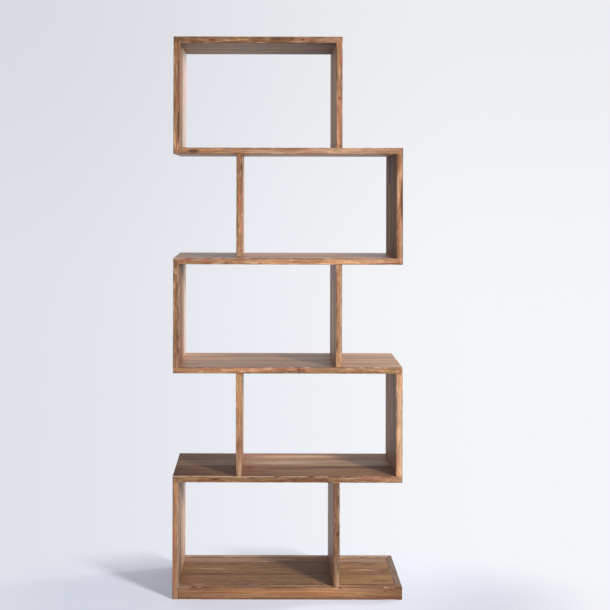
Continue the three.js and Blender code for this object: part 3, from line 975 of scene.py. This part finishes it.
# Each layer's share where its mask is full, and its tint, in the order of the laying.
wood_layers = {
    "Growth": (1.0, brown),
    "Red": (0.4, red_brown),
    "Black": (1.0, near_black),
    "Pale streak": (0.6, pale_tan),
    "Red streak": (0.65, red_brown),
    "Dark streak": (0.6, dark_edge),
    "Flecks": (0.55, pale_tan),
    "Dark dashes": (0.55, dark_edge),
    # Painted sheen: this layer is sapwood on most boards and painted sheen on the inner faces of
    # the left sides of tiers 3 and 5.
    "Cream wood and sheen": (1.0, cream_wood_and_sheen_colour),
}
surface_layers = {
    "Pores": (0.5, near_black),
    "Halo": (0.3, red_brown),
    "Knot": (0.85, near_black),
    "Stain": (0.75, dark_edge),
    "Oil": (0.6, dark_edge),
    "Wear": (0.65, pale_edge),
    "Dirt": (0.8, seam_dirt),
}
roughness_shares = {"Fibre": 0.14, "Wear": -0.08, "Dirt": 0.25}
height_shares = {"Fibre": 0.5, "Pores": -0.7, "Rings": 0.25}


def attribute(tree, name):
    """A value stored on the points of the piece."""
    return add(tree, "Attribute", attribute_name=name, attribute_type="GEOMETRY").outputs["Fac"]


def wood_masks(tree, grain, streak_share):
    """Every mask and value of the finish by name: those stored on the points, the outputs
    of the groups, and the ones mixed from these."""
    place = add(tree, "TexCoord").outputs["Object"]
    parts = add(tree, "SeparateXYZ", {0: place}).outputs
    turned = {number: parts[axis] for number, axis in enumerate(AXIS_ORDER[grain])}
    along = add(tree, "CombineXYZ", turned).outputs[0]

    knot = place_group(tree, knots, Place=place)
    masks = {name: attribute(tree, name) for name in STORED}
    masks.update(place_group(tree, figure, Along=along, Plank=masks["plank"], Bend=knot["Halo"]))
    masks.update(place_group(tree, edge_wear, Place=place, Edge=masks["edge"],
                             Seam=masks["seam"], Polish=masks["polish"]))
    masks.update({"Knot": knot["Spot"], "Halo": knot["Halo"]})
    for name, group in streaks.items():
        masks[name] = place_group(tree, group, Place=place)["Spot"]

    rustic = masks["rustic"]
    bands = times(tree, patchy(tree, along, *BANDS), rustic)
    masks["Tan"] = maths(tree, "MULTIPLY_ADD", bands, BAND_SHARE, masks["hue"])
    ring_share = maths(tree, "MULTIPLY_ADD", rustic, *RING_SHARES)
    masks["Growth"] = times(tree, masks["Rings"], ring_share)
    masks["Black"] = times(tree, masks["Streaks"], streak_share)
    masks["Flecks"] = times(tree, patchy(tree, along, *FLECKS), rustic)
    masks["Dark dashes"] = times(tree, masks["Dashes"], rustic)
    # Painted sheen and sapwood: the stored cream share, broken into clouds by the mottle.
    masks["Cream wood and sheen"] = times(tree, masks["cream_and_sheen"], smooth(tree, masks["Mottle"], *CREAM_AND_SHEEN_CLOUDS))
    stain = maths(tree, "MAXIMUM", masks["stain"], masks["glue"])
    masks["Stain"] = times(tree, stain, patchy(tree, along, *BLOTS))
    return masks


def laid(tree, colour, masks, layers):
    """The colour after each layer's tint has been laid over it, at its share of its mask."""
    for name, (share, tint) in layers.items():
        colour = blend(tree, times(tree, masks[name], share), colour, tint)
    return colour


def weighted(tree, masks, shares, start=0.0):
    """The start plus each mask times its share."""
    for name, share in shares.items():
        start = maths(tree, "MULTIPLY_ADD", masks[name], share, start)
    return start


def wood_tone(tree, masks):
    """How light the wood is: the stored tone and the plank's, broken by fibre and mottle."""
    plank_tone = maths(tree, "MULTIPLY_ADD", masks["plank"], PLANK_TONE, -PLANK_TONE / 2)
    tone = maths(tree, "ADD", maths(tree, "ADD", masks["tone"], plank_tone), 1.0)
    tone = times(tree, tone, smooth(tree, masks["Fibre"], *FIBRE_TONES))
    mottle_share = maths(tree, "MULTIPLY_ADD", masks["rustic"], *MOTTLE_SHARES)
    mottle = maths(tree, "SUBTRACT", masks["Mottle"], MOTTLE_MIDDLE)
    return times(tree, tone, maths(tree, "MULTIPLY_ADD", mottle, mottle_share, 1.0))


def wood_surface(tree, colour, roughness, height, bump_strength, gloss):
    """The wood's shader: its colour, roughness and gloss, and a bump from its height."""
    inputs = {"Height": height, "Distance": BUMP_HEIGHT, "Strength": bump_strength}
    bump = add(tree, "Bump", inputs)
    inputs = {"Base Color": colour, "Roughness": roughness, "Normal": bump.outputs["Normal"],
              "Specular IOR Level": gloss}
    show(tree, add(tree, "BsdfPrincipled", inputs))


def wood_material(name, grain, tans, gloss, streak_share):
    """Wood between a pinkish and an olive tan, with its grain along one axis."""
    material = bpy.data.materials.new(name)
    tree = emptied(material)
    masks = wood_masks(tree, grain, streak_share)
    colour = laid(tree, blend(tree, masks["Tan"], *tans), masks, wood_layers)
    colour = scaled(tree, colour, wood_tone(tree, masks))
    colour = laid(tree, colour, masks, surface_layers)
    rough = weighted(tree, masks, roughness_shares, PLAIN_ROUGHNESS)
    rough = maths(tree, "ADD", rough, smooth(tree, masks["tone"], *DULLNESS))
    height = weighted(tree, masks, height_shares)
    wood_surface(tree, colour, rough, height, BUMP_STRENGTH, gloss)
    return material


# For each kind of wood the axes that its grain runs along, its two tans, its gloss and how
# strong its black streaks are.
wood_kinds = {
    "oiled_board": ("xz", (paint("#BF8C6A"), paint("#B48E5E")), 0.5, 0.62),
    "dry_base": ("xy", (paint("#BE8B69"), paint("#AB8144")), 0.2, 0.4),
}
finishes = {
    (kind, grain): wood_material(f"{kind}_grain_along_{grain}", grain, *look)
    for kind, (grains, *look) in wood_kinds.items()
    for grain in grains
}
print("finishes:", len(finishes))

# %% Put the finish on the boards
for name, piece in pieces.items():
    base = name.startswith("base")
    piece.data.materials.append(finishes["dry_base" if base else "oiled_board", grain_of[name]])
print("finished", len(pieces), "pieces")

# %% [markdown]
# ## The wood inside the joints
#
# Splines, dowels and the two battens are cut from plain straight-grained offcuts and get no
# oil. Their CAD shape is already right, so only their material changes.

# %% The wood inside the joints
bare_tan = paint("#CDB48C")
bare_brown = paint("#AF9064")
bare_pore = paint("#7A5F3F")
bare_layers = {"Rings": (0.5, bare_brown), "Pores": (0.4, bare_pore)}
OFFCUT = 0.3
BARE_ROUGHNESS = 0.6
BARE_BUMP = 0.4
BARE_GLOSS = 0.5


def bare_material():
    """Pale, dry, straight-grained wood."""
    material = bpy.data.materials.new("bare_joinery_wood")
    tree = emptied(material)
    place = add(tree, "TexCoord").outputs["Object"]
    masks = place_group(tree, figure, Along=place, Plank=OFFCUT, Bend=0.0)
    colour = laid(tree, bare_tan, masks, bare_layers)
    rough = weighted(tree, masks, {"Fibre": 0.2}, BARE_ROUGHNESS)
    wood_surface(tree, colour, rough, masks["Fibre"], BARE_BUMP, BARE_GLOSS)
    return material


bare = bare_material()
inside = [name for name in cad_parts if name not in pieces]
for name in inside:
    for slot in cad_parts[name].material_slots:
        slot.material = bare
print(len(inside), "splines, dowels and battens in bare wood")

# %% [markdown]
# ## Floor and background
#
# The picture has a pale seamless studio sweep, brighter to the right and a little darker
# above. A bent sheet behind the shelf would hide it from the back, so the background is the
# colour of the world, seen only by the camera and by reflections, and the floor keeps the
# shadow and fades out into that colour. From below the floor is clear, so the underside of
# the shelf can be seen.

# %% Floor and background
pale_left = paint("#E0E2E9")
pale_right = paint("#F5F6FA")
room_colour = paint("#EAEDF8")
floor_colour = paint("#D4D7DF")
# Painted shade: the floor takes this darker colour near the lamps, so their pool of light stays
# dim.
floor_painted_shade_colour = paint("#A0A2A6")
floor_glow_colour = paint("#D9DEEC")
LEFT_TO_RIGHT = (-0.24, 0.2)
BELOW_TO_ABOVE = (-0.12, 0.17)
SHADE_ABOVE = 0.93
FRONT_TO_BACK = (-0.25, 0.45)
ROOM_LIGHT = 0.1
SWEEP_LIGHT = 0.66
FLOOR_HALF = 4.5
FLOOR_GLOW = 0.3
FADE_CENTRE = (-0.05, -0.15, 0)
FADE_REACH = (1.0, 0.5, 1)
FADE_RANGE = (0.6, 1.15)
LAMP_SIDE = (2.6, -1.8, 0)
LAMP_RANGE = (3.1, 2.3)


def seen_rays(tree):
    """1 for rays from the camera, in reflections and through glass."""
    path = add(tree, "LightPath").outputs
    total = maths(tree, "ADD", path["Is Camera Ray"], path["Is Glossy Ray"])
    both = {0: total, 1: path["Is Transmission Ray"]}
    return add(tree, "Math", both, operation="ADD", use_clamp=True).outputs[0]


def make_world():
    """A pale world, brighter to the right and a little darker above. For the light that it
    gives, the sweep behind the shelf is bright and the room in front is dim, and Y tells the
    two apart."""
    world = bpy.data.worlds.new("studio")
    scene.world = world
    tree = emptied(world)
    direction = add(tree, "TexCoord").outputs["Generated"]
    parts = add(tree, "SeparateXYZ", {0: direction}).outputs
    colour = blend(tree, smooth(tree, parts["X"], *LEFT_TO_RIGHT), pale_left, pale_right)
    shade = smooth(tree, parts["Z"], *BELOW_TO_ABOVE, 1.0, SHADE_ABOVE)
    seen = add(tree, "Background", {"Color": colour, "Strength": shade})
    light = smooth(tree, parts["Y"], *FRONT_TO_BACK, ROOM_LIGHT, SWEEP_LIGHT)
    ambient = add(tree, "Background", {"Color": room_colour, "Strength": light})
    inputs = {0: seen_rays(tree), 1: ambient.outputs[0], 2: seen.outputs[0]}
    show(tree, add(tree, "MixShader", inputs), "OutputWorld")


def make_floor():
    """A flat square whose material fades to clear away from the shelf, with painted shade: its
    colour is darker towards the lamps at the front right.
    """
    corners = np.array([(-1, -1, 0), (1, -1, 0), (1, 1, 0), (-1, 1, 0)]) * FLOOR_HALF
    mesh = bpy.data.meshes.new("floor")
    mesh.from_pydata(corners, [], [(0, 1, 2, 3)])
    floor = new_object("floor", mesh)
    material = bpy.data.materials.new("studio_floor")
    tree = emptied(material)
    place = add(tree, "TexCoord").outputs["Object"]
    reach = vector(tree, "DIVIDE", vector(tree, "SUBTRACT", place, FADE_CENTRE), FADE_REACH)
    clear = smooth(tree, vector(tree, "LENGTH", reach), *FADE_RANGE)
    clear = maths(tree, "MAXIMUM", clear, add(tree, "NewGeometry").outputs["Backfacing"])
    # Painted shade: the floor is darker near the lamps.
    lamp_distance = vector(tree, "LENGTH", vector(tree, "SUBTRACT", place, LAMP_SIDE))
    near_lamp = smooth(tree, lamp_distance, *LAMP_RANGE)
    colour = blend(tree, near_lamp, floor_colour, floor_painted_shade_colour)
    shaded = add(tree, "BsdfDiffuse", {"Color": colour})
    glow_strength = times(tree, seen_rays(tree), FLOOR_GLOW)
    glow = add(tree, "Emission", {"Color": floor_glow_colour, "Strength": glow_strength})
    solid = add(tree, "AddShader", {0: shaded.outputs[0], 1: glow.outputs[0]})
    nothing = add(tree, "BsdfTransparent")
    inputs = {0: clear, 1: solid.outputs[0], 2: nothing.outputs[0]}
    show(tree, add(tree, "MixShader", inputs))
    mesh.materials.append(material)
    return floor


make_world()
floor = make_floor()
print("world and floor made")

# %% [markdown]
# ## Lamps
#
# A soft lamp stands to the right, in front and above, so the shadows fall to the back left of
# each upright. A second one stands low on the right, a little behind the shelf: it makes the
# inner faces of the left uprights pale, and where both are blocked the floor is darkest.
# A weak one at the left opens the shadows. Sunlight would be too hard for a studio. The lamps
# don't show in reflections, where they would be white patches on the oiled boards.

# %% Lamps
# For each lamp its place and the length of its side, in metres, and its power in watts.
lamps = {
    "key_lamp": ((2.3, -2.8, 2.05), 0.6, 172),
    "side_lamp": ((3.7, 1.32, 1.5), 0.6, 85),
    "fill_lamp": ((-2.6, -2.4, 1.6), 2.0, 8),
}
AIM = (0, 0, 0.85)


def make_lamp(name, place, size, power):
    """A square lamp that faces the middle of the shelf."""
    data = bpy.data.lights.new(name, "AREA")
    data.shape = "SQUARE"
    data.size = size
    data.energy = power
    lamp = new_object(name, data)
    lamp.location = place
    offset = np.array(AIM) - np.array(place)
    flat = math.hypot(offset[0], offset[1])
    lamp.rotation_euler = (math.atan2(flat, -offset[2]), 0, math.atan2(-offset[0], offset[1]))
    lamp.visible_glossy = False


for name, (place, size, power) in lamps.items():
    make_lamp(name, place, size, power)
print("lamps:", ", ".join(lamps))
